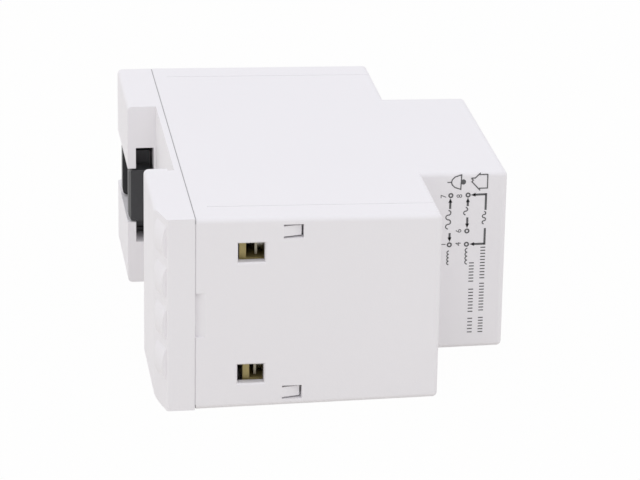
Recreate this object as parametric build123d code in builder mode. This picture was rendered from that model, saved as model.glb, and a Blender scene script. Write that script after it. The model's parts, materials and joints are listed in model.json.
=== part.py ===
from build123d import *
from math import atan2, cos, radians, sin, tan
import os

# Bell transformer for a 35 mm top-hat rail, lying on one flat side.
# X runs from the rail side to the nose, Y from the primary end to the secondary end, Z across the width.
# Depths are measured along X from the rear plane. The origin is the middle of the box, on its lower side.

# Housing
module_width = 36.0
body_length = 90.0
total_depth = 66.3
shoulder_depth = 50.3
nose_length = 45.0
seam_depth = 6.7
seam_gap = 0.04
seam_bevel = 0.2
side_draft = 0.81
wall = 1.8
edge_round = 0.9
lip_thickness = 1.2
lip_height = 2.0
lip_gap = 0.15

# Rail interface of the base
rail_width = 35.0
rail_thickness = 1.0
rail_play = 0.2
slot_depth = 5.5
hook_reach = 17.5
hook_overlap = 0.8
clip_overlap = 1.0
far_room = 2.8
foot_skin = 1.6
chamfer_depth = 1.75
chamfer_length = 7.0
chamfer_round = 0.5
pad_width = 6.0
pad_crown = 0.8
pad_margin = 0.4
pad_length = 4.8
pad_offset = 2.2

# Rail clip
clip_width = 10.4
clip_plate_width = 15.6
clip_plate_thickness = 2.9
clip_gap = 0.3
clip_inset = 0.2
clip_travel = 3.6
clip_recess = 0.5
clip_block = 3.0
clip_tab = 2.6
clip_tail_inset = 7.5
clip_tail_reach = 0.9
clip_ramp_depth = 0.4
clip_ramp_length = 1.2
clip_round = 1.0
arm_thickness = 0.7
arm_slit = 0.7
arm_root = 1.6
arm_bump = 0.3

# Terminals
wire_depth = 16.6
window_length = 4.8
window_height = 3.6
window_bevel = 0.25
partition = 1.5
compartment_length = 8.5
chamber_depth = 10.0
cage_length = 6.4
cage_width = 5.0
cage_side = 0.8
cage_bar = 1.2
cage_opening = 5.0
cage_nut = 2.6
cage_round = 0.5
cage_end_gap = 0.6
cage_side_gap = 0.21
cage_arm_gap = 0.27
cage_rise = 1.5
cage_home = 0.75
cage_grip_gap = 0.1
strip_offset = 0.85
strip_thickness = 0.45
strip_width = 2.8
strip_end_gap = 1.4
strip_overhang = 2.2
strip_gap = 0.1
screw_radius = 1.45
screw_gap = 0.05
screw_tip_gap = 0.15
screw_shank = 9.05
screw_head_radius = 2.3
screw_head_height = 2.0
screw_head_bevel = 0.3
screw_slot_width = 0.8
screw_slot_depth = 1.1
deck_gap = 0.3
deck_thickness = 1.5
access_radius = 2.05
access_wall = 1.15

# Each end has room for four terminals. For each number: its end of the housing, its place in pitches from
# the middle, and how far its cage is screwed home at rest
terminal_places = 4
terminals = {
    "1": (-1, -1.5, cage_home),
    "7": (-1, 1.5, 0.0),
    "4": (1, -0.5, 0.0),
    "6": (1, 0.5, 0.0),
    "8": (1, 1.5, 0.0),
}

# Snap tongues, pry notches and end lines of the cover
tongue_depth = 22.2
tongue_length = 3.55
tongue_width = 2.55
tongue_inset = 2.8
tongue_slit = 0.35
tongue_bend = 0.8
snap_arm_side_gap = 0.7
snap_arm_width = 1.3
snap_arm_thickness = 1.4
snap_arm_reach = 2.3
snap_arm_gap = 0.3
snap_catch = 0.7
notch_width = 8.3
notch_length = 1.8
notch_depth = 0.7
end_line_place = 6.45
end_line_start = 9.3
end_line_width = 0.2
end_line_depth = 0.15

# Transformer: E and I laminations with legs of one unit, two units in the middle, and a split bobbin
core_nose_gap = 0.7
core_stack = 16.0
core_depth = 9.0
core_hole_radius = 1.75
core_rail_width = 2.0
core_rail_spacing = 10.0
core_rail_inset = 2.0
core_post_gap = 0.1
core_post_width = 2.0
core_post_spacing = 28.0
core_post_height = 14.0
bobbin_leg_gap = 0.15
bobbin_tube = 1.0
bobbin_flange = 1.2
bobbin_end_gap = 0.2
bobbin_window_gap = 0.3
bobbin_side_gap = 0.4
bobbin_round = 1.5
winding_end_gap = 0.1
winding_inset = 0.9
winding_round = 2.5
wrap_gap = 0.05
wrap_thickness = 0.3
cutout_length = 12.0
cutout_width = 6.8
cutout_height = 4.2
lead_radius = 0.6
lead_straight = 4.5
lead_turn = 2.0
lead_flange_margin = 5.0
lead_spacing = 5.0

# Places that follow from the sizes above
rear_x = -total_depth / 2
seam_x = rear_x + seam_depth
base_x = seam_x - seam_gap
shoulder_x = rear_x + shoulder_depth
front_x = rear_x + total_depth
end_y = body_length / 2
nose_y = nose_length / 2
mid_z = module_width / 2
draft_slope = tan(radians(side_draft))

rail_near_y = -hook_reach - hook_overlap
rail_far_y = rail_near_y + rail_width
slot_near_y = rail_near_y - rail_play
slot_far_y = rail_far_y + far_room
slot_x = rear_x + slot_depth
rail_back_x = slot_x - rail_thickness - rail_play
foot_wall = wall + lip_gap + lip_thickness
clip_tip_y = rail_far_y - clip_overlap + clip_travel
clip_rear_x = rear_x + clip_inset
clip_plate_x = rear_x + foot_skin + clip_gap
clip_plate_y = slot_far_y + clip_recess + clip_travel
clip_tail_y = end_y - clip_tail_inset
clip_plate_length = clip_tail_y - clip_tail_reach - clip_plate_y
clip_pocket_depth = clip_plate_thickness + 2 * clip_gap
clip_half_span = clip_plate_width / 2 + arm_slit + arm_thickness
clip_pocket_width = 2 * (clip_half_span + arm_bump + clip_gap / 2)
clip_pocket_length = clip_plate_y + clip_plate_length + clip_gap - slot_far_y

chamfer_angle = atan2(chamfer_depth, chamfer_length)
slope_x = -sin(chamfer_angle)
slope_y = cos(chamfer_angle)
pad_radius = (pad_width ** 2 / 4 + pad_crown ** 2) / (2 * pad_crown)
pad_plane = Plane(
    (rear_x + chamfer_depth + pad_margin * slope_x, -end_y + pad_margin * slope_y, mid_z + pad_offset),
    x_dir=(0, 0, 1),
    z_dir=(slope_x, slope_y, 0),
)

# The outer terminals stand beside the snap arms, and the places between them are evenly spaced
snap_arm_inset = wall + snap_arm_side_gap + snap_arm_width / 2
terminal_inset = snap_arm_inset + snap_arm_width / 2 + cage_arm_gap + cage_width / 2
terminal_pitch = (module_width - 2 * terminal_inset) / (terminal_places - 1)
divider = terminal_pitch - cage_width - 2 * cage_side_gap
partition_y = end_y - wall - compartment_length
screw_y = end_y - wall - cage_end_gap - cage_length / 2
strip_x = rear_x + wire_depth + strip_offset
strip_front_x = strip_x + strip_thickness
strip_mid_x = strip_x + strip_thickness / 2
cage_rest_x = strip_x - cage_grip_gap - cage_rise - cage_bar
strip_length = compartment_length - strip_end_gap + partition + strip_overhang
strip_inner_y = partition_y - partition - strip_overhang
tongue_tip_x = rear_x + tongue_depth + tongue_length
screw_tip_x = strip_front_x + screw_tip_gap
screw_head_x = screw_tip_x + screw_shank
deck_x = screw_head_x + screw_head_height + deck_gap

core_unit = (nose_y - wall - core_nose_gap) / 2.5
core_x = rear_x + core_depth + 3 * core_unit
core_front_x = core_x + 3 * core_unit
core_half_y = 2.5 * core_unit
leg_half = core_unit
window_half_y = 1.5 * core_unit
bobbin_half_y = window_half_y - bobbin_end_gap
bobbin_half_x = 2 * core_unit - bobbin_window_gap
bobbin_fall = draft_slope * (core_x + bobbin_half_x - seam_x)
bobbin_height = module_width - 2 * (wall + bobbin_fall + bobbin_side_gap)
bobbin_inner = 2 * (leg_half + bobbin_leg_gap)
bobbin_inner_z = core_stack + 2 * bobbin_leg_gap
winding_half_x = bobbin_half_x - winding_inset
winding_half_z = bobbin_height / 2 - winding_inset
winding_near_y = bobbin_flange / 2 + winding_end_gap
winding_far_y = bobbin_half_y - bobbin_flange - winding_end_gap

os.makedirs("parts", exist_ok=True)


def write(piece, name):
    piece.part.label = name
    export_step(piece.part, "parts/" + name + ".step")


def terminal_z(place):
    return mid_z + place * terminal_pitch


def drafted_body(inset):
    # The cover's outer form with every wall moved in by inset; open towards the base
    with BuildPart() as body:
        with BuildSketch(Plane.XY):
            with BuildLine():
                Polyline(
                    (seam_x, -end_y + inset),
                    (shoulder_x - inset, -end_y + inset),
                    (shoulder_x - inset, -nose_y + inset),
                    (front_x - inset, -nose_y + inset),
                    (front_x - inset, nose_y - inset),
                    (shoulder_x - inset, nose_y - inset),
                    (shoulder_x - inset, end_y - inset),
                    (seam_x, end_y - inset),
                    close=True,
                )
            make_face()
        extrude(amount=module_width)
        fall = draft_slope * (total_depth - seam_depth)
        with BuildSketch(Plane.XZ):
            with BuildLine():
                Polyline(
                    (seam_x, inset),
                    (front_x, inset + fall),
                    (front_x, module_width - inset - fall),
                    (seam_x, module_width - inset),
                    close=True,
                )
            make_face()
        extrude(amount=end_y, both=True, mode=Mode.INTERSECT)
    return body.part


# Inner walls of the cover: terminal compartments, screw deck, access tubes and the posts behind the core
with BuildPart() as cover_walls:
    for end in (-1, 1):
        with BuildSketch(Plane.YZ.offset(rear_x + chamber_depth)):
            with Locations((end * (partition_y - partition / 2), mid_z)):
                Rectangle(partition, module_width)
        extrude(amount=shoulder_depth - chamber_depth)
        with BuildSketch(Plane.YZ.offset(rear_x + chamber_depth)):
            with Locations((end * (partition_y + end_y) / 2, mid_z)):
                with GridLocations(0, terminal_pitch, 1, terminal_places - 1):
                    Rectangle(end_y - partition_y, divider)
        extrude(amount=deck_x - rear_x - chamber_depth)
        with BuildSketch(Plane.YZ.offset(deck_x)):
            with Locations((end * (partition_y + end_y) / 2, mid_z)):
                Rectangle(end_y - partition_y, module_width)
        extrude(amount=deck_thickness)
    for end, place, home in terminals.values():
        with BuildSketch(Plane.YZ.offset(deck_x)):
            with Locations((end * screw_y, terminal_z(place))):
                Circle(access_radius + access_wall)
        extrude(amount=shoulder_x - deck_x)
    with BuildSketch(Plane.YZ.offset(core_front_x + core_post_gap)):
        with Locations((0, mid_z)):
            with GridLocations(core_post_spacing, 0, 2, 1):
                Rectangle(core_post_width, core_post_height)
    extrude(amount=front_x - core_front_x)
    add(drafted_body(wall / 2), mode=Mode.INTERSECT)

with BuildPart() as front_cover:
    add(drafted_body(0))
    rounded = front_cover.edges().filter_by(lambda edge: edge.center().X > seam_x + edge_round)
    inner_corners = rounded.filter_by(
        lambda edge: abs(edge.center().X - shoulder_x) < edge_round
        and abs(abs(edge.center().Y) - nose_y) < edge_round
        and abs(edge.center().Z - mid_z) < edge_round
    )
    fillet(rounded - inner_corners, radius=edge_round)
    chamfer(front_cover.faces().sort_by(Axis.X)[0].edges(), length=seam_bevel)
    add(drafted_body(wall), mode=Mode.SUBTRACT)
    add(cover_walls.part)
    for end, place, home in terminals.values():
        with BuildSketch(Plane.YZ.offset(deck_x)):
            with Locations((end * screw_y, terminal_z(place))):
                Circle(access_radius)
        extrude(amount=shoulder_x - deck_x, mode=Mode.SUBTRACT)
        window_centre = (rear_x + wire_depth, end * end_y, terminal_z(place))
        outer_face = Plane(window_centre, x_dir=(1, 0, 0), z_dir=(0, end, 0))
        with BuildSketch(outer_face):
            Rectangle(window_length, window_height)
        extrude(amount=-wall, mode=Mode.SUBTRACT)
        with BuildSketch(outer_face):
            Rectangle(window_length + 2 * window_bevel, window_height + 2 * window_bevel)
        extrude(amount=-window_bevel, taper=45, mode=Mode.SUBTRACT)
        with BuildSketch(Plane.YZ.offset(rear_x + chamber_depth)):
            with Locations((end * (partition_y - partition / 2), terminal_z(place))):
                Rectangle(2 * partition, strip_width + 2 * strip_gap)
        extrude(amount=strip_front_x - rear_x - chamber_depth, mode=Mode.SUBTRACT)
    for end in (-1, 1):
        for side in (-1, 1):
            tongue_z = mid_z + side * (mid_z - tongue_inset)
            tongue_x = rear_x + tongue_depth
            tongue_plane = Plane((tongue_x, end * end_y, tongue_z), x_dir=(end, 0, 0), z_dir=(0, -end, 0))
            with BuildSketch(tongue_plane):
                with Locations((end * tongue_length / 2, 0)):
                    Rectangle(tongue_length, tongue_width)
                with Locations((end * (tongue_length - tongue_slit) / 2, 0)):
                    Rectangle(tongue_length - tongue_slit, tongue_width - 2 * tongue_slit, mode=Mode.SUBTRACT)
            extrude(amount=wall, mode=Mode.SUBTRACT)
            with BuildSketch(Plane.XY.offset(tongue_z)):
                with BuildLine():
                    Polyline(
                        (tongue_x, end * end_y),
                        (tongue_x + tongue_length, end * end_y),
                        (tongue_x + tongue_length, end * (end_y - tongue_bend)),
                        close=True,
                    )
                make_face()
            extrude(amount=tongue_width / 2 - tongue_slit, both=True, mode=Mode.SUBTRACT)
        with BuildSketch(Plane.XY.offset(mid_z)):
            with BuildLine():
                Polyline(
                    (seam_x, end * end_y),
                    (seam_x + notch_length, end * end_y),
                    (seam_x, end * (end_y - notch_depth)),
                    close=True,
                )
            make_face()
        extrude(amount=notch_width / 2, both=True, mode=Mode.SUBTRACT)
    for side in (-1, 1):
        tilt = radians(side_draft)
        side_plane = Plane(
            (seam_x, 0, mid_z + side * mid_z),
            x_dir=(cos(tilt), 0, -side * sin(tilt)),
            z_dir=(sin(tilt), 0, side * cos(tilt)),
        )
        line_start = end_line_start - seam_depth
        line_length = shoulder_depth - end_line_start
        with BuildSketch(side_plane):
            with Locations((line_start + line_length / 2, 0)):
                with GridLocations(0, body_length - 2 * end_line_place, 1, 2):
                    Rectangle(line_length, end_line_width)
        extrude(amount=-end_line_depth, mode=Mode.SUBTRACT)
write(front_cover, "front_cover")


with BuildPart() as rear_base:
    with BuildSketch(Plane.XY):
        with BuildLine():
            Polyline(
                (rear_x, -end_y + chamfer_length),
                (rear_x + chamfer_depth, -end_y),
                (base_x, -end_y),
                (base_x, end_y),
                (rear_x, end_y),
                (rear_x, slot_far_y),
                (slot_x, slot_far_y),
                (slot_x, slot_near_y),
                (rail_back_x, slot_near_y),
                (rail_back_x, -hook_reach),
                (rear_x, -hook_reach),
                close=True,
            )
        make_face()
    extrude(amount=module_width)
    rims = rear_base.edges().filter_by(
        lambda edge: abs(edge.center().Z - mid_z) > mid_z - edge_round and edge.center().X < base_x - seam_gap
    )
    inside_slot = rims.filter_by(
        lambda edge: slot_near_y - edge_round < edge.center().Y < slot_far_y + edge_round
    )
    corners = rear_base.edges().filter_by(Axis.Z)
    chamfer_corner = corners.sort_by_distance((rear_x + chamfer_depth, -end_y, mid_z))[0]
    fillet(chamfer_corner, radius=chamfer_round)
    far_corner = corners.sort_by_distance((rear_x, end_y, mid_z))[0]
    fillet(rims - inside_slot + [far_corner], radius=edge_round)
    # Rounded grip pads across the chamfer, trimmed at the rear plane
    with BuildSketch(pad_plane):
        with GridLocations(terminal_pitch, 0, terminal_places, 1):
            with Locations((0, pad_radius - pad_crown)):
                Circle(pad_radius)
        Rectangle(terminal_places * terminal_pitch, 2 * pad_crown, mode=Mode.INTERSECT)
    extrude(amount=pad_length)
    with BuildSketch(Plane.YZ.offset(rear_x)):
        with Locations((0, mid_z)):
            Rectangle(body_length, module_width)
    extrude(amount=-2 * pad_crown, mode=Mode.SUBTRACT)
    # Hollows of the feet, open towards the inside
    with BuildSketch(Plane.YZ.offset(base_x)):
        with Locations(((slot_near_y - foot_skin - end_y + foot_wall) / 2, mid_z)):
            Rectangle(end_y + slot_near_y - foot_skin - foot_wall, module_width - 2 * foot_wall)
    extrude(amount=-(seam_depth - seam_gap - foot_skin - chamfer_depth), mode=Mode.SUBTRACT)
    side_hollow = mid_z - foot_wall - clip_pocket_width / 2 - foot_skin
    with BuildSketch(Plane.YZ.offset(base_x)):
        with Locations(((slot_far_y + foot_skin + end_y - foot_wall) / 2, mid_z)):
            with GridLocations(0, module_width - 2 * foot_wall - side_hollow, 1, 2):
                Rectangle(end_y - foot_wall - slot_far_y - foot_skin, side_hollow)
    extrude(amount=-(seam_depth - seam_gap - foot_skin), mode=Mode.SUBTRACT)
    # Channel and pocket that guide the clip
    with BuildSketch(Plane.YZ.offset(rear_x)):
        with Locations(((slot_far_y + end_y) / 2, mid_z)):
            Rectangle(end_y - slot_far_y, clip_width + 2 * clip_gap)
    extrude(amount=foot_skin + 2 * clip_gap, mode=Mode.SUBTRACT)
    with BuildSketch(Plane.YZ.offset(rear_x + foot_skin)):
        with Locations((slot_far_y + clip_pocket_length / 2, mid_z)):
            Rectangle(clip_pocket_length, clip_pocket_width)
    extrude(amount=clip_pocket_depth, mode=Mode.SUBTRACT)
    # Locating lip inside the cover, rails under the core, snap arms behind the cover's tongues
    lip_inset = wall + lip_gap
    with BuildSketch(Plane.YZ.offset(base_x)):
        with Locations((0, mid_z)):
            Rectangle(body_length - 2 * lip_inset, module_width - 2 * lip_inset)
            Rectangle(body_length - 2 * foot_wall, module_width - 2 * foot_wall, mode=Mode.SUBTRACT)
    extrude(amount=lip_height)
    with BuildSketch(Plane.YZ.offset(base_x)):
        with Locations((0, mid_z)):
            with GridLocations(0, core_rail_spacing, 1, 2):
                Rectangle(2 * (core_half_y - core_rail_inset), core_rail_width)
    extrude(amount=core_depth - seam_depth + seam_gap)
    for end in (-1, 1):
        for side in (-1, 1):
            arm_z = mid_z + side * (mid_z - snap_arm_inset)
            arm_y = end * (end_y - wall - snap_arm_gap - snap_arm_thickness / 2)
            with BuildSketch(Plane.YZ.offset(base_x)):
                with Locations((arm_y, arm_z)):
                    Rectangle(snap_arm_thickness, snap_arm_width)
            extrude(amount=tongue_tip_x + snap_arm_reach - base_x)
            with BuildSketch(Plane.XY.offset(arm_z)):
                with BuildLine():
                    Polyline(
                        (rear_x + tongue_depth, end * (end_y - wall)),
                        (tongue_tip_x, end * (end_y - wall)),
                        (tongue_tip_x, end * (end_y - wall - snap_arm_gap - snap_catch)),
                        close=True,
                    )
                make_face()
            extrude(amount=snap_arm_width, both=True, mode=Mode.SUBTRACT)
write(rear_base, "rear_base")


# Clip in its open place; it slides towards the near hook by its travel
with BuildPart() as rail_clip:
    with BuildSketch(Plane.XY.offset(mid_z)):
        with BuildLine():
            Polyline(
                (rail_back_x, clip_tip_y),
                (rail_back_x, clip_plate_y + clip_plate_length),
                (clip_plate_x, clip_plate_y + clip_plate_length),
                (clip_plate_x, clip_tail_y),
                (clip_rear_x, clip_tail_y),
                (clip_rear_x, clip_tail_y - clip_tab),
                (clip_plate_x, clip_tail_y - clip_tab),
                (clip_plate_x, clip_tip_y + clip_block),
                (clip_rear_x, clip_tip_y + clip_block),
                (clip_rear_x, clip_tip_y + clip_ramp_length),
                (clip_rear_x + clip_ramp_depth, clip_tip_y),
                close=True,
            )
        make_face()
    extrude(amount=clip_width / 2, both=True)
    fillet(rail_clip.edges().filter_by(Axis.Y).group_by(Axis.X)[0], radius=clip_round)
    with BuildSketch(Plane.YZ.offset(clip_plate_x)):
        with Locations((clip_plate_y + clip_plate_length / 2, mid_z)):
            Rectangle(clip_plate_length, clip_plate_width)
        for side in (-1, 1):
            root_z = mid_z + side * (clip_plate_width / 2 + (arm_slit + arm_thickness) / 2)
            arm_z = mid_z + side * (clip_half_span - arm_thickness / 2)
            with Locations((clip_plate_y + clip_plate_length - arm_root / 2, root_z)):
                Rectangle(arm_root, arm_slit + arm_thickness)
            with Locations((clip_plate_y + (clip_plate_length + arm_root) / 2, arm_z)):
                Rectangle(clip_plate_length - arm_root, arm_thickness)
            with Locations((clip_plate_y + arm_root, arm_z)):
                Circle(arm_thickness / 2 + arm_bump)
    extrude(amount=clip_plate_thickness)
write(rail_clip, "rail_clip")


def make_cage(number):
    end, place, home = terminals[number]
    cage_x = cage_rest_x + home
    cage_depth = cage_bar + cage_opening + cage_nut
    outer_end_y = end * (end_y - wall - cage_end_gap)
    outer_end = Plane((cage_x, outer_end_y, terminal_z(place)), x_dir=(1, 0, 0), z_dir=(0, -end, 0))
    with BuildPart() as cage:
        with BuildSketch(outer_end):
            with Locations((cage_depth / 2, 0)):
                RectangleRounded(cage_depth, cage_width, cage_round)
            with Locations((cage_bar + cage_opening / 2, 0)):
                Rectangle(cage_opening, cage_width - 2 * cage_side, mode=Mode.SUBTRACT)
        extrude(amount=cage_length)
        with BuildSketch(Plane.YZ.offset(cage_x + cage_bar + cage_opening)):
            with Locations((end * screw_y, terminal_z(place))):
                Circle(screw_radius + screw_gap)
        extrude(amount=cage_nut, mode=Mode.SUBTRACT)
    write(cage, "cage_" + number)


def make_screw(number):
    end, place, home = terminals[number]
    head_top_x = screw_head_x + screw_head_height
    axis_origin = (0, end * screw_y, terminal_z(place))
    with BuildPart() as screw:
        with BuildSketch(Plane(axis_origin)):
            with BuildLine():
                Polyline(
                    (screw_tip_x, 0),
                    (screw_tip_x, screw_radius),
                    (screw_head_x, screw_radius),
                    (screw_head_x, screw_head_radius),
                    (head_top_x - screw_head_bevel, screw_head_radius),
                    (head_top_x, screw_head_radius - screw_head_bevel),
                    (head_top_x, 0),
                    close=True,
                )
            make_face()
        revolve(axis=Axis(axis_origin, (1, 0, 0)))
        with BuildSketch(Plane.YZ.offset(head_top_x)):
            with Locations(axis_origin[1:]):
                Rectangle(2 * screw_head_radius, screw_slot_width)
        extrude(amount=-screw_slot_depth, mode=Mode.SUBTRACT)
    write(screw, "screw_" + number)


def make_strip(number):
    end, place, home = terminals[number]
    with BuildPart() as strip:
        with BuildSketch(Plane.YZ.offset(strip_x)):
            with Locations((end * (strip_inner_y + strip_length / 2), terminal_z(place))):
                Rectangle(strip_length, strip_width)
        extrude(amount=strip_thickness)
    write(strip, "strip_" + number)


for number in terminals:
    make_cage(number)
    make_screw(number)
    make_strip(number)


# Laminated core: the E stack opens towards the secondary end, where the I stack closes it
with BuildPart() as core_e_stack:
    with BuildSketch(Plane.XY.offset(mid_z - core_stack / 2)):
        with Locations((core_x, -core_unit / 2)):
            Rectangle(6 * core_unit, 4 * core_unit)
        with Locations((core_x, 0)):
            with GridLocations(3 * core_unit, 0, 2, 1):
                Rectangle(core_unit, 2 * window_half_y, mode=Mode.SUBTRACT)
            with GridLocations(5 * core_unit, 4 * core_unit, 2, 2):
                Circle(core_hole_radius, mode=Mode.SUBTRACT)
    extrude(amount=core_stack)
write(core_e_stack, "core_e_stack")

with BuildPart() as core_i_stack:
    with BuildSketch(Plane.XY.offset(mid_z - core_stack / 2)):
        with Locations((core_x, 2 * core_unit)):
            Rectangle(6 * core_unit, core_unit)
            with GridLocations(5 * core_unit, 0, 2, 1):
                Circle(core_hole_radius, mode=Mode.SUBTRACT)
    extrude(amount=core_stack)
write(core_i_stack, "core_i_stack")


def coil_plane(y):
    return Plane((core_x, y, mid_z), x_dir=(1, 0, 0), z_dir=(0, 1, 0))


with BuildPart() as bobbin:
    with BuildSketch(coil_plane(0)):
        Rectangle(bobbin_inner + 2 * bobbin_tube, bobbin_inner_z + 2 * bobbin_tube)
    extrude(amount=bobbin_half_y, both=True)
    for flange_y in (-bobbin_half_y, -bobbin_flange / 2, bobbin_half_y - bobbin_flange):
        with BuildSketch(coil_plane(flange_y)):
            RectangleRounded(2 * bobbin_half_x, bobbin_height, bobbin_round)
        extrude(amount=bobbin_flange)
    with BuildSketch(coil_plane(0)):
        Rectangle(bobbin_inner, bobbin_inner_z)
    extrude(amount=bobbin_half_y, both=True, mode=Mode.SUBTRACT)
write(bobbin, "bobbin")


def make_coil(name, start_y):
    tube_x = bobbin_inner + 2 * bobbin_tube
    tube_z = bobbin_inner_z + 2 * bobbin_tube
    with BuildPart() as winding:
        with BuildSketch(coil_plane(start_y)):
            RectangleRounded(2 * winding_half_x, 2 * winding_half_z, winding_round)
            Rectangle(tube_x, tube_z, mode=Mode.SUBTRACT)
        extrude(amount=winding_far_y - winding_near_y)
    write(winding, name + "_winding")
    inner_grow = wrap_gap
    outer_grow = wrap_gap + wrap_thickness
    with BuildPart() as wrap:
        with BuildSketch(coil_plane(start_y)):
            for grow, mode in ((outer_grow, Mode.ADD), (inner_grow, Mode.SUBTRACT)):
                RectangleRounded(
                    2 * (winding_half_x + grow), 2 * (winding_half_z + grow), winding_round + grow, mode=mode
                )
        extrude(amount=winding_far_y - winding_near_y)
    write(wrap, name + "_wrap")


make_coil("primary", -winding_far_y)
make_coil("secondary", winding_near_y)


# Cut-out lying under the E stack, against the primary flange
with BuildPart() as thermal_cutout:
    with BuildSketch(Plane.XY.offset(mid_z - core_stack / 2 - cutout_height)):
        with Locations((core_x, -bobbin_half_y - cutout_width / 2)):
            Rectangle(cutout_length, cutout_width)
    extrude(amount=cutout_height)
write(thermal_cutout, "thermal_cutout")


def make_lead(number, *bends):
    end, place, home = terminals[number]
    start = (strip_mid_x, end * strip_inner_y, terminal_z(place))
    straight = (strip_mid_x, end * (strip_inner_y - lead_straight), terminal_z(place))
    with BuildPart() as lead:
        with BuildLine():
            Polyline(start, straight, *bends)
        with BuildSketch(Plane(start, z_dir=(0, -end, 0))):
            Circle(lead_radius)
        sweep(transition=Transition.RIGHT)
    write(lead, "lead_" + number)


first_lead_x = core_x - bobbin_half_x + lead_flange_margin
second_lead_x = first_lead_x + lead_spacing
high_z = module_width - terminal_inset
low_z = terminal_inset
turn_y = core_half_y + lead_turn
cutout_y = -bobbin_half_y - cutout_width / 2
cutout_z = mid_z - core_stack / 2 - cutout_height / 2
make_lead("7", (first_lead_x, -turn_y, high_z), (first_lead_x, -bobbin_half_y, high_z))
make_lead("8", (first_lead_x, turn_y, high_z), (first_lead_x, bobbin_half_y, high_z))
make_lead("6", (second_lead_x, turn_y, high_z), (second_lead_x, bobbin_half_y, high_z))
make_lead("4", (second_lead_x, turn_y, low_z), (second_lead_x, bobbin_half_y, low_z))
make_lead("1", (strip_mid_x, cutout_y, cutout_z), (core_x - cutout_length / 2, cutout_y, cutout_z))
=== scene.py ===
import json
from math import atan2, pi, radians, sqrt, tan

import bmesh
import bpy
from mathutils import Matrix, Quaternion, Vector


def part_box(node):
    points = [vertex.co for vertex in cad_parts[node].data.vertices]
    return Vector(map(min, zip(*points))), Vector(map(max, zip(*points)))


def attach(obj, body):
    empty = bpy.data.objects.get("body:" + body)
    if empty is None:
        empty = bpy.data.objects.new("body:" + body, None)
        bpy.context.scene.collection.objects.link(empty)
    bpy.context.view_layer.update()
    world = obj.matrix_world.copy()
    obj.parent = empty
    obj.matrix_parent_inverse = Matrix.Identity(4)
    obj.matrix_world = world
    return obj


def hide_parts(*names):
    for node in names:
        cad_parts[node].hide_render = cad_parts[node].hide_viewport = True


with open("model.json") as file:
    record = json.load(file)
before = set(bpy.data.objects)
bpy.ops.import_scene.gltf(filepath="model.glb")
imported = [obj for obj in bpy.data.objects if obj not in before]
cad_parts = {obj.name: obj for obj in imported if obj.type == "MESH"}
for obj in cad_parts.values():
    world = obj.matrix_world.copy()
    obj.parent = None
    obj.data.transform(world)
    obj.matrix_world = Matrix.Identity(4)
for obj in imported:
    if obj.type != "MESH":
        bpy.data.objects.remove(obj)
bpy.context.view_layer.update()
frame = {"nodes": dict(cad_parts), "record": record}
nodes = frame["nodes"]
mm = 0.001
print("frame loaded:", len(nodes), "nodes")


class Wire:  # a node's output that takes Python's operators
    def __init__(self, tree, socket):
        self.tree = tree
        self.socket = socket

    def maths(self, operation, first, second):
        return self.tree.add("Math", {"operation": operation}, {0: first, 1: second})

    def __add__(self, other):
        return self.maths("ADD", self, other)

    def __radd__(self, other):
        return self.maths("ADD", other, self)

    def __sub__(self, other):
        return self.maths("SUBTRACT", self, other)

    def __rsub__(self, other):
        return self.maths("SUBTRACT", other, self)

    def __mul__(self, other):
        return self.maths("MULTIPLY", self, other)

    def __rmul__(self, other):
        return self.maths("MULTIPLY", other, self)

    def __gt__(self, other):
        return self.maths("GREATER_THAN", self, other)

    def __lt__(self, other):
        return self.maths("LESS_THAN", self, other)

    def size(self):  # without its sign
        return self.maths("ABSOLUTE", self, 0)

    def wave(self):  # sine, brought to the range from 0 to 1
        return self.maths("SINE", self, 0) * 0.5 + 0.5


class Tree:  # the nodes of a material or of the world
    def __init__(self, owner):
        owner.use_nodes = True
        self.nodes = owner.node_tree.nodes
        self.links = owner.node_tree.links

    def add(self, kind, settings=None, inputs=None, output=0):
        node = self.nodes.new("ShaderNode" + kind)
        for name, value in (settings or {}).items():
            setattr(node, name, value)
        for name, value in (inputs or {}).items():
            self.join(node.inputs[name], value)
        return Wire(self, node.outputs[output])

    def join(self, socket, value):
        if isinstance(value, Wire):
            self.links.new(value.socket, socket)
        else:
            socket.default_value = value

    def blend(self, mask, low, high):  # a Mix node has its colours at 6 and 7 and their mix at output 2
        ends = [colour if isinstance(colour, Wire) else (*colour, 1) for colour in (low, high)]
        both = {"Factor": mask, 6: ends[0], 7: ends[1]}
        return self.add("Mix", {"data_type": "RGBA"}, both, output=2)

    def seenDirectly(self):  # 1 for camera, glossy and transmission rays
        camera = self.add("LightPath", output="Is Camera Ray")
        glossy = self.add("LightPath", output="Is Glossy Ray")
        through = self.add("LightPath", output="Is Transmission Ray")
        return self.add("Clamp", None, {"Value": camera + glossy + through})


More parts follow.
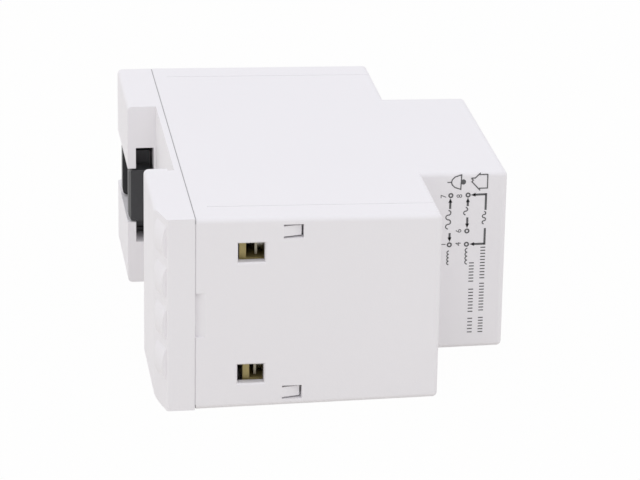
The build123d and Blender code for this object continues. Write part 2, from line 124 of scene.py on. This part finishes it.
class Finish(Tree):  # one material and its main shader
    def __init__(self, name, shaderValues):
        self.material = bpy.data.materials.new(name)
        super().__init__(self.material)
        self.shader = self.nodes["Principled BSDF"]
        self.place = self.add("TexCoord", output="Object")
        for socketName, value in shaderValues.items():
            self.feed(socketName, value)

    def feed(self, socketName, value):
        self.join(self.shader.inputs[socketName], value)

    def noise(self, size, detail=2.0, stretch=(1, 1, 1)):  # size of a blotch in mm
        scaled = self.add("Mapping", None, {"Vector": self.place, "Scale": stretch})
        return self.add("TexNoise", None, {"Vector": scaled, "Scale": 1 / (size * mm), "Detail": detail})

    def axis(self, name):  # one coordinate, in mm
        return self.add("SeparateXYZ", None, {0: self.place}, output=name) * (1 / mm)

    def shade(self, mask, colour, spread):  # the colour, darker and lighter by the spread
        low = [c * (1 - spread) for c in colour]
        high = [min(1, c * (1 + spread)) for c in colour]
        return self.blend(mask, low, high)

    def tint(self, mask, colour, spread):
        self.feed("Base Color", self.shade(mask, colour, spread))

    def rough(self, mask, middle, spread):
        self.feed("Roughness", mask * (2 * spread) + (middle - spread))

    def bump(self, height, depth):  # depth in mm
        relief = {"Height": height, "Strength": 1.0, "Distance": depth * mm}
        self.feed("Normal", self.add("Bump", None, relief))


# Finishes, one function for each family of surface
def paintedSeamMask(finish, joint):  # painted shade: a darker band of colour along the seam between the two mouldings, on the broad sides
    across = (finish.axis("X") - joint["x"]).size() < joint["half"]
    broad = (finish.axis("Z") - joint["middle"]).size() > joint["sides"]
    return across * broad


def moulded(name, look, flowShare=0.6):
    finish = Finish(name, {"Specular IOR Level": look["gloss"]})
    spark = finish.noise(look["grain"], detail=3.0)  # texture of the mould's eroded steel
    flow = finish.noise(look["flow"], detail=1.0)
    shade = finish.shade(flow * flowShare + spark * (1 - flowShare), look["colour"], look["spread"])
    # painted shade of the seam, laid over the plastic's own colour
    if "joint" in look:
        shade = finish.blend(paintedSeamMask(finish, look["joint"]), shade, look["joint"]["colour"])
    finish.feed("Base Color", shade)
    finish.rough(spark, look["rough"], look["roughSpread"])
    finish.bump(spark, look["relief"])
    return finish.material


def plated(name, look, stainShare=0.6):
    finish = Finish(name, {"Metallic": look["metal"]})
    streaks = finish.noise(look["streak"], detail=4.0, stretch=look["stretch"])
    stain = finish.noise(look["stain"], detail=3.0)
    finish.tint(streaks * (1 - stainShare) + stain * stainShare, look["colour"], look["spread"])
    finish.rough((streaks + stain) * 0.5, look["rough"], look["roughSpread"])
    finish.bump(streaks, look["relief"])
    return finish.material


def laminated(name, look, varnish=0.4):
    finish = Finish(name, {"Metallic": 0.8})
    sheets = (finish.axis("Z") * (2 * pi / look["sheet"])).wave()
    steel = sheets > look["gap"]  # 0 in the varnish between two sheets
    scale = finish.noise(look["blotch"], detail=4.0)
    finish.tint(scale * (steel * (1 - varnish) + varnish), look["colour"], look["spread"])
    finish.rough(scale, look["rough"], look["roughSpread"])
    finish.bump(steel, look["relief"])
    return finish.material


def wound(name, look, grooveShadeShare=0.7):
    finish = Finish(name, {"Metallic": 0.7, "Coat Weight": 0.4, "Coat Roughness": 0.2})
    turns = (finish.axis("Y") * (2 * pi / look["turn"])).wave()
    uneven = finish.noise(look["blotch"])
    # painted shade: the copper's colour darkens in the grooves between turns, where the bump is low
    finish.tint(turns * grooveShadeShare + uneven * (1 - grooveShadeShare), look["colour"], look["spread"])
    finish.rough(uneven, look["rough"], look["roughSpread"])
    finish.bump(turns, look["relief"])
    return finish.material


def inked(name, look):
    finish = Finish(name, {"Specular IOR Level": 0.3})
    wear = finish.noise(look["grain"], detail=3.0)
    finish.tint(wear, look["colour"], look["spread"])
    finish.rough(wear, look["rough"], look["roughSpread"])
    return finish.material


looks = {  # lengths in mm
    "housing_white": (moulded, {
        "colour": (0.850, 0.832, 0.850), "spread": 0.012, "gloss": 0.45,
        "grain": 0.22, "flow": 30, "rough": 0.62, "roughSpread": 0.05, "relief": 0.012,
        # painted shade along the seam where the cover meets the base, a darker band in the colour
        "joint": {
            "colour": (0.50, 0.49, 0.50), "x": -26.41, "half": 0.08,
            "middle": 18.0, "sides": 17.0,  # z half way up, and how far from it the broad sides begin
        },
    }),
    "clip_grey": (moulded, {
        "colour": (0.033, 0.033, 0.036), "spread": 0.10, "gloss": 0.5,
        "grain": 0.20, "flow": 8, "rough": 0.42, "roughSpread": 0.06, "relief": 0.012,
    }),
    "bobbin_plastic": (moulded, {
        "colour": (0.05, 0.05, 0.055), "spread": 0.10, "gloss": 0.5,
        "grain": 0.30, "flow": 10, "rough": 0.5, "roughSpread": 0.06, "relief": 0.015,
    }),
    "cutout_black": (moulded, {
        "colour": (0.025, 0.025, 0.025), "spread": 0.12, "gloss": 0.5,
        "grain": 0.25, "flow": 5, "rough": 0.38, "roughSpread": 0.05, "relief": 0.01,
    }),
    "lead_sheath": (moulded, {
        "colour": (0.55, 0.55, 0.53), "spread": 0.06, "gloss": 0.5,
        "grain": 0.5, "flow": 4, "rough": 0.4, "roughSpread": 0.05, "relief": 0.01,
    }),
    "tape_yellow": (moulded, {
        "colour": (0.72, 0.48, 0.06), "spread": 0.10, "gloss": 0.6,
        "grain": 1.2, "flow": 9, "rough": 0.25, "roughSpread": 0.08, "relief": 0.03,
    }),
    "cage_brass": (plated, {  # dull under a film of oxide
        "colour": (0.40, 0.325, 0.135), "spread": 0.22, "metal": 0.35,
        "streak": 0.25, "stain": 1.6, "stretch": (1, 0.2, 1),
        "rough": 0.38, "roughSpread": 0.10, "relief": 0.01,
    }),
    "screw_steel": (plated, {
        "colour": (0.58, 0.57, 0.54), "spread": 0.15, "metal": 1.0,
        "streak": 0.2, "stain": 1.2, "stretch": (1, 1, 1),
        "rough": 0.30, "roughSpread": 0.08, "relief": 0.006,
    }),
    "strip_tinned": (plated, {
        "colour": (0.31, 0.285, 0.22), "spread": 0.25, "metal": 1.0,
        "streak": 0.3, "stain": 1.5, "stretch": (1, 0.15, 1),
        "rough": 0.36, "roughSpread": 0.10, "relief": 0.008,
    }),
    "core_steel": (laminated, {
        "colour": (0.26, 0.27, 0.29), "spread": 0.30, "sheet": 0.5, "gap": 0.12, "blotch": 2.5,
        "rough": 0.45, "roughSpread": 0.12, "relief": 0.05,
    }),
    "winding_copper": (wound, {
        "colour": (0.50, 0.20, 0.08), "spread": 0.25, "turn": 0.35, "blotch": 3,
        "rough": 0.30, "roughSpread": 0.08, "relief": 0.08,
    }),
}
finishes = {}
for slotName, (makeFinish, look) in looks.items():
    finishes[slotName] = makeFinish(slotName, look)
for subpart in frame["record"]["subparts"]:
    for materialSlot in nodes[subpart["node"]].material_slots:
        materialSlot.material = finishes[subpart["material_slot"]]
print("finishes made:", len(finishes))


def newPiece(name, work, material, creaseAngle=35):
    mesh = bpy.data.meshes.new(name)
    work.to_mesh(mesh)
    work.free()
    mesh.materials.append(material)
    mesh.shade_smooth()
    mesh.set_sharp_from_angle(angle=radians(creaseAngle))
    piece = bpy.data.objects.new(name, mesh)
    bpy.context.scene.collection.objects.link(piece)
    return piece


def everything(work):
    return work.verts[:] + work.edges[:] + work.faces[:]


# Terminal screws with their real thread, in place of the plain CAD screws
screwSet = {  # mm
    "terminals": ["1", "7", "4", "6", "8"],
    "pitch": 0.5,
    "crest": 1.45,
    "root": 1.2,
    "turnSteps": 24,
    "runIn": 4,  # half pitches before the thread, for the spin's climb and the cut
    "runOut": 2,
    "headRadius": 2.3,
    "headHeight": 2.0,
    "headSteps": 40,
    "headBevel": 0.3,
    "bevelSteps": 3,
    "slotWidth": 0.8,
    "slotDepth": 1.1,
    "merge": 0.001,  # points this close become one
    "near": 0.01,  # and this close count as one height
}


def addThread(work, spec, length):  # along +X from the origin, right-handed
    halves = int(length / spec["pitch"]) * 2 + spec["runIn"] + spec["runOut"]
    line = []
    for index in range(halves):
        radius = spec["crest"] if index % 2 else spec["root"]
        line.append(work.verts.new(((index - spec["runIn"]) * spec["pitch"] / 2, radius, 0)))
    edges = [work.edges.new(pair) for pair in zip(line, line[1:])]
    climb = Vector((spec["pitch"] / spec["turnSteps"], 0, 0))
    bmesh.ops.spin(work, geom=line + edges, cent=(0, 0, 0), axis=(1, 0, 0), dvec=climb, angle=2 * pi,
                   steps=spec["turnSteps"], use_merge=False, use_duplicate=False)
    bmesh.ops.remove_doubles(work, verts=work.verts, dist=spec["merge"])  # joins each turn to the next
    for place, side in ((0, -1), (length, 1)):
        bmesh.ops.bisect_plane(work, geom=everything(work), plane_co=(place, 0, 0), plane_no=(side, 0, 0),
                               clear_outer=True)
    rims = [edge for edge in work.edges if edge.is_boundary]
    bmesh.ops.holes_fill(work, edges=rims, sides=0)


def addHead(work, spec, start):  # a disc and the two halves that the slot leaves above it
    top = start + spec["headHeight"]
    floor = top - spec["slotDepth"]
    slotEdge = spec["slotWidth"] / 2
    upright = Matrix.Rotation(pi / 2, 4, "Y")
    middle = Matrix.Translation(((start + floor) / 2, 0, 0))
    bmesh.ops.create_cone(work, cap_ends=True, segments=spec["headSteps"], radius1=spec["headRadius"],
                          radius2=spec["headRadius"], depth=floor - start, matrix=middle @ upright)
    for side in (-1, 1):
        half = bmesh.new()
        bmesh.ops.create_circle(half, cap_ends=True, segments=spec["headSteps"],
                                radius=spec["headRadius"],
                                matrix=Matrix.Translation((floor, 0, 0)) @ upright)
        bmesh.ops.bisect_plane(half, geom=everything(half), plane_co=(0, 0, side * slotEdge),
                               plane_no=(0, 0, side), clear_inner=True)
        raised = bmesh.ops.extrude_face_region(half, geom=half.faces[:])["geom"]
        lifted = [item for item in raised if isinstance(item, bmesh.types.BMVert)]
        bmesh.ops.translate(half, vec=(spec["slotDepth"], 0, 0), verts=lifted)
        rim = [edge for edge in half.edges
               if all(abs(vert.co.x - top) < spec["near"] for vert in edge.verts)
               and any(abs(vert.co.z) > slotEdge + spec["near"] for vert in edge.verts)]
        bmesh.ops.bevel(half, geom=rim, offset=spec["headBevel"], affect="EDGES",
                        segments=spec["bevelSteps"], profile=0.5, material=-1)
        bmesh.ops.recalc_face_normals(half, faces=half.faces)
        shape = bpy.data.meshes.new("half")
        half.to_mesh(shape)
        half.free()
        work.from_mesh(shape)
        bpy.data.meshes.remove(shape)


def makeScrew(terminal, spec):
    node = "screw_" + terminal
    low, high = (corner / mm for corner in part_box(node))
    work = bmesh.new()
    shank = high.x - low.x - spec["headHeight"]
    addThread(work, spec, shank)
    addHead(work, spec, shank)
    bmesh.ops.recalc_face_normals(work, faces=work.faces)
    middle = (low + high) / 2
    bmesh.ops.translate(work, vec=(low.x, middle.y, middle.z), verts=work.verts)
    bmesh.ops.scale(work, vec=(mm, mm, mm), verts=work.verts)
    screw = newPiece("threaded_" + node, work, finishes["screw_steel"])
    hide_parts(node)
    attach(screw, node)


for terminal in screwSet["terminals"]:
    makeScrew(terminal, screwSet)
print("screws threaded:", len(screwSet["terminals"]))


# Wiring diagram printed on the near side of the nose, places as (x, z) in mm
printSet = {
    "plane": -22.5,  # y of the nose's side
    "proud": 0.02,
    "stroke": 0.39,
    "thinStroke": 0.20,
    "ink": {
        "colour": (0.115, 0.115, 0.118), "spread": 0.15, "grain": 0.3,
        "rough": 0.6, "roughSpread": 0.08,
    },
    "rings": [(22.68, 30.9), (25.88, 30.9), (22.68, 21.3), (25.88, 23.9), (25.88, 21.3)],
    "ringOuter": 0.48,
    "ringInner": 0.22,
    "ringSteps": 24,
    "arrows": [
        ((22.63, 28.3), (22.63, 30.4)), ((22.68, 23.6), (22.68, 21.85)),
        ((25.88, 28.75), (25.88, 30.4)), ((25.88, 26.55), (25.88, 24.45)),
        ((29.23, 30.95), (26.38, 30.9)), ((29.23, 21.3), (26.43, 21.3)),
    ],
    "headLength": 0.90,
    "headWidth": 0.74,
    "bars": [((29.23, 31.15), (29.23, 27.9)), ((29.23, 24.35), (29.23, 21.1))],
    "digits": {
        "7": (21.38, 30.75), "8": (24.33, 30.75), "6": (24.38, 23.95),
        "4": (24.38, 21.4), "1": (21.53, 21.4),
    },
    "digitHeight": 1.5,
    "waves": [  # x, z from, z to, humps
        (22.33, 24.4, 28.0, 4), (25.53, 27.05, 28.5, 2), (28.98, 25.2, 27.6, 4),
    ],
    "coils": [(22.63, 17.4, 20.1, 4), (26.08, 17.4, 20.5, 4)],
    "humpSteps": 10,
    "ticks": [  # x, z from, z to
        (26.98, 3.9, 6.6), (26.98, 8.0, 12.4), (26.93, 14.0, 17.6),
        (28.98, 3.9, 6.7), (28.98, 8.2, 13.5), (28.98, 14.6, 20.6),
    ],
    "tickHeight": 0.9,
    "tickStep": 0.62,
    "bell": [
        (24.58, 31.9), (23.33, 32.35), (22.78, 32.9), (22.63, 33.45),
        (22.78, 34.0), (23.33, 34.55), (24.68, 35.0),
    ],
    "bellLoop": ((21.98, 33.45), (22.68, 33.45)),
    "clapper": (24.93, 33.45),
    "clapperRadius": 0.5,
    "clapperSteps": 20,
    "house": [
        (29.53, 32.05), (28.08, 32.05), (28.08, 31.6), (26.38, 33.45), (26.63, 33.75), (26.38, 33.95),
        (26.38, 34.25), (27.08, 34.25), (28.08, 35.25), (28.08, 34.9), (29.53, 34.9),
    ],
}


def onPrint(point):  # a place on the print: right along Z, up towards the rail side
    return Vector((point[1], -point[0], 0))


def addBar(work, start, end, width, short=0):
    run = onPrint(end) - onPrint(start)
    length = run.length - short
    grid = bmesh.ops.create_grid(work, x_segments=1, y_segments=1, size=0.5)
    turned = Matrix.Translation(onPrint(start)) @ Matrix.Rotation(atan2(run.y, run.x), 4, "Z")
    sized = Matrix.Diagonal((length, width, 1, 1))
    fromStart = Matrix.Translation((0.5, 0, 0))
    bmesh.ops.transform(work, matrix=turned @ sized @ fromStart, verts=grid["verts"])


def addArrow(work, start, end, spec):
    run = onPrint(end) - onPrint(start)
    addBar(work, start, end, spec["stroke"], spec["headLength"] / 2)
    reach = 2 / 3  # from the middle to the tip of a triangle that is 1 high
    head = bmesh.ops.create_circle(work, cap_ends=True, segments=3, radius=reach)
    turned = Matrix.Rotation(atan2(run.y, run.x) - pi / 2, 4, "Z")
    sized = Matrix.Diagonal((spec["headWidth"] * sqrt(3) / 2, spec["headLength"], 1, 1))
    placed = Matrix.Translation(onPrint(end)) @ turned @ sized @ Matrix.Translation((0, -reach, 0))
    bmesh.ops.transform(work, matrix=placed, verts=head["verts"])


def addRing(work, centre, spec):
    edges = {}  # each once, in order
    for radius in (spec["ringOuter"], spec["ringInner"]):
        loop = bmesh.ops.create_circle(work, segments=spec["ringSteps"], radius=radius,
                                       matrix=Matrix.Translation(onPrint(centre)))
        edges.update((edge, radius) for vert in loop["verts"] for edge in vert.link_edges)
    bmesh.ops.bridge_loops(work, edges=list(edges))


def addHumps(work, row, spec, alternate):  # half rings in a row, all upright or every second one turned
    x, start, end, count = row
    radius = (end - start) / count / 2
    for index in range(count):
        centre = onPrint((x, start + (2 * index + 1) * radius))
        line = []
        for side in (-1, 1):
            line.append(work.verts.new(centre + Vector((radius + side * spec["thinStroke"] / 2, 0, 0))))
        edge = work.edges.new(line)
        sweep = -pi if alternate and index % 2 else pi
        bmesh.ops.spin(work, geom=[*line, edge], cent=centre, axis=(0, 0, 1), angle=sweep,
                       steps=spec["humpSteps"])


def addOutline(work, points, stroke):
    face = work.faces.new([work.verts.new(onPrint(point)) for point in points])
    face.normal_update()
    bmesh.ops.inset_region(work, faces=[face], thickness=stroke, use_even_offset=True, use_boundary=True)
    bmesh.ops.delete(work, geom=[face], context="FACES")


def addTicks(work, row, spec):
    x, start, end = row
    half = spec["tickHeight"] / 2
    count = round((end - start) / spec["tickStep"])
    for index in range(count + 1):
        z = start + (end - start) * index / count
        addBar(work, (x - half, z), (x + half, z), spec["thinStroke"])


def addDigit(work, digit, place, height):
    curve = bpy.data.curves.new("digit", "FONT")
    curve.body = digit
    curve.size = height
    curve.align_x = "CENTER"
    curve.align_y = "CENTER"
    written = bpy.data.objects.new("digit", curve)
    bpy.context.scene.collection.objects.link(written)
    flat = bpy.data.meshes.new_from_object(written.evaluated_get(bpy.context.evaluated_depsgraph_get()))
    flat.transform(Matrix.Translation(onPrint(place)))
    work.from_mesh(flat)
    bpy.data.objects.remove(written)
    bpy.data.curves.remove(curve)
    bpy.data.meshes.remove(flat)


def makePrint(spec):
    work = bmesh.new()
    for centre in spec["rings"]:
        addRing(work, centre, spec)
    for start, end in spec["arrows"]:
        addArrow(work, start, end, spec)
    for start, end in spec["bars"]:
        addBar(work, start, end, spec["stroke"])
    for row in spec["waves"]:
        addHumps(work, row, spec, True)
    for row in spec["coils"]:
        addHumps(work, row, spec, False)
    for row in spec["ticks"]:
        addTicks(work, row, spec)
    addOutline(work, spec["bell"], spec["thinStroke"])
    addOutline(work, spec["house"], spec["thinStroke"])
    addBar(work, *spec["bellLoop"], spec["thinStroke"])
    bmesh.ops.create_circle(work, cap_ends=True, segments=spec["clapperSteps"],
                            radius=spec["clapperRadius"],
                            matrix=Matrix.Translation(onPrint(spec["clapper"])))
    for digit, place in spec["digits"].items():
        addDigit(work, digit, place, spec["digitHeight"])
    bmesh.ops.recalc_face_normals(work, faces=work.faces)
    bmesh.ops.solidify(work, geom=work.faces[:], thickness=spec["proud"])
    face = spec["plane"] - spec["proud"]
    upright = Matrix(((0, -1, 0, 0), (0, 0, -1, face), (1, 0, 0, 0), (0, 0, 0, 1)))  # faces -Y
    bmesh.ops.transform(work, matrix=Matrix.Scale(mm, 4) @ upright, verts=work.verts)
    bmesh.ops.recalc_face_normals(work, faces=work.faces)
    diagram = newPiece("wiring_print", work, inked("print_ink", spec["ink"]))
    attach(diagram, "housing")


makePrint(printSet)
print("diagram printed")


# Camera at the photograph's viewing angle
cameraSet = {
    "place": (-77.777, -554.056, 220.406),  # mm
    "target": (-3.646, -38.56, 29.031),
    "roll": 0.961,  # degrees
    "lens": 176.265,
    "sensor": 36.0,
    "near": 0.01,  # m
    "far": 20,
}


def makeCamera(spec):
    data = bpy.data.cameras.new("camera")
    data.lens = spec["lens"]
    data.sensor_width = spec["sensor"]
    data.clip_start = spec["near"]
    data.clip_end = spec["far"]
    camera = bpy.data.objects.new("camera", data)
    bpy.context.scene.collection.objects.link(camera)
    place = Vector(spec["place"]) * mm
    forward = Vector(spec["target"]) * mm - place
    camera.location = place
    camera.rotation_mode = "QUATERNION"
    roll = Quaternion((0, 0, 1), radians(spec["roll"]))
    camera.rotation_quaternion = forward.to_track_quat("-Z", "Y") @ roll
    bpy.context.scene.camera = camera


makeCamera(cameraSet)
print("camera placed")


# Studio: a pale floor, a white surround and four broad lamps, lengths in m
studio = {
    "floorSize": 6.0,
    "sideDraft": 0.81,  # degrees, the part lies on a drafted side
    "draftStart": -26.45,  # x in mm
    "floorColour": (0.76, 0.735, 0.68),
    "floorSpread": 0.01,
    "floorGrain": 3.0,  # mm
    "floorRough": 0.9,
    "floorRoughSpread": 0.05,
    "floorGlow": 0.97,  # of the white that the camera sees
    "tableGlow": 0.20,  # of the white that lights the part from below
    "surround": (0.738, 0.742, 0.775),
    "lampSize": 1.2,
    "lamps": {  # power in W
        "before": {"place": (0.0, -0.70, 1.20), "power": 3.5, "colour": (1.0, 1.0, 1.0)},
        "behind": {"place": (0.0, 0.80, 1.20), "power": 1.8, "colour": (1.0, 1.0, 1.0)},
        "left": {"place": (-1.40, -0.20, 0.60), "power": 3.0, "colour": (1.0, 0.985, 0.955)},
        "right": {"place": (1.30, -0.50, 0.60), "power": 1.1, "colour": (1.0, 0.985, 0.955)},
    },
}


def floorFinish(spec):
    finish = Finish("floor", {"Specular IOR Level": 0.0})
    grain = finish.noise(spec["floorGrain"])
    finish.tint(grain, spec["floorColour"], spec["floorSpread"])
    finish.rough(grain, spec["floorRough"], spec["floorRoughSpread"])
    glow = finish.add("Emission", None, {"Color": (1, 1, 1, 1), "Strength": 1.0})
    share = finish.seenDirectly() * (spec["floorGlow"] - spec["tableGlow"]) + spec["tableGlow"]
    plain = Wire(finish, finish.shader.outputs[0])
    mixed = finish.add("MixShader", None, {0: share, 1: plain, 2: glow})
    finish.join(finish.nodes["Material Output"].inputs["Surface"], mixed)
    return finish.material


def makeFloor(spec):
    work = bmesh.new()
    bmesh.ops.create_grid(work, x_segments=1, y_segments=1, size=spec["floorSize"] / 2)
    tilt = Matrix.Rotation(-radians(spec["sideDraft"]), 4, "Y")
    bmesh.ops.transform(work, matrix=tilt, verts=work.verts)
    drop = tan(radians(spec["sideDraft"])) * spec["draftStart"] * mm
    bmesh.ops.translate(work, vec=(0, 0, -drop), verts=work.verts)
    floor = newPiece("floor", work, floorFinish(spec))


def makeSurround(spec):
    world = bpy.data.worlds.new("surround")
    bpy.context.scene.world = world
    tree = Tree(world)
    shade = tree.blend(tree.seenDirectly(), spec["surround"], (1, 1, 1))
    tree.join(tree.nodes["Background"].inputs["Color"], shade)


def makeLamp(name, spec, size):
    data = bpy.data.lights.new(name, "AREA")
    data.shape = "SQUARE"
    data.size = size
    data.energy = spec["power"]
    data.color = spec["colour"]
    lamp = bpy.data.objects.new(name, data)
    bpy.context.scene.collection.objects.link(lamp)
    lamp.location = spec["place"]
    lamp.rotation_mode = "QUATERNION"
    lamp.rotation_quaternion = (-Vector(spec["place"])).to_track_quat("-Z", "Y")


makeFloor(studio)
makeSurround(studio)
for lampName, lampSpec in studio["lamps"].items():
    makeLamp(lampName, lampSpec, studio["lampSize"])
bpy.context.scene.view_settings.view_transform = "Standard"
print("studio lit")
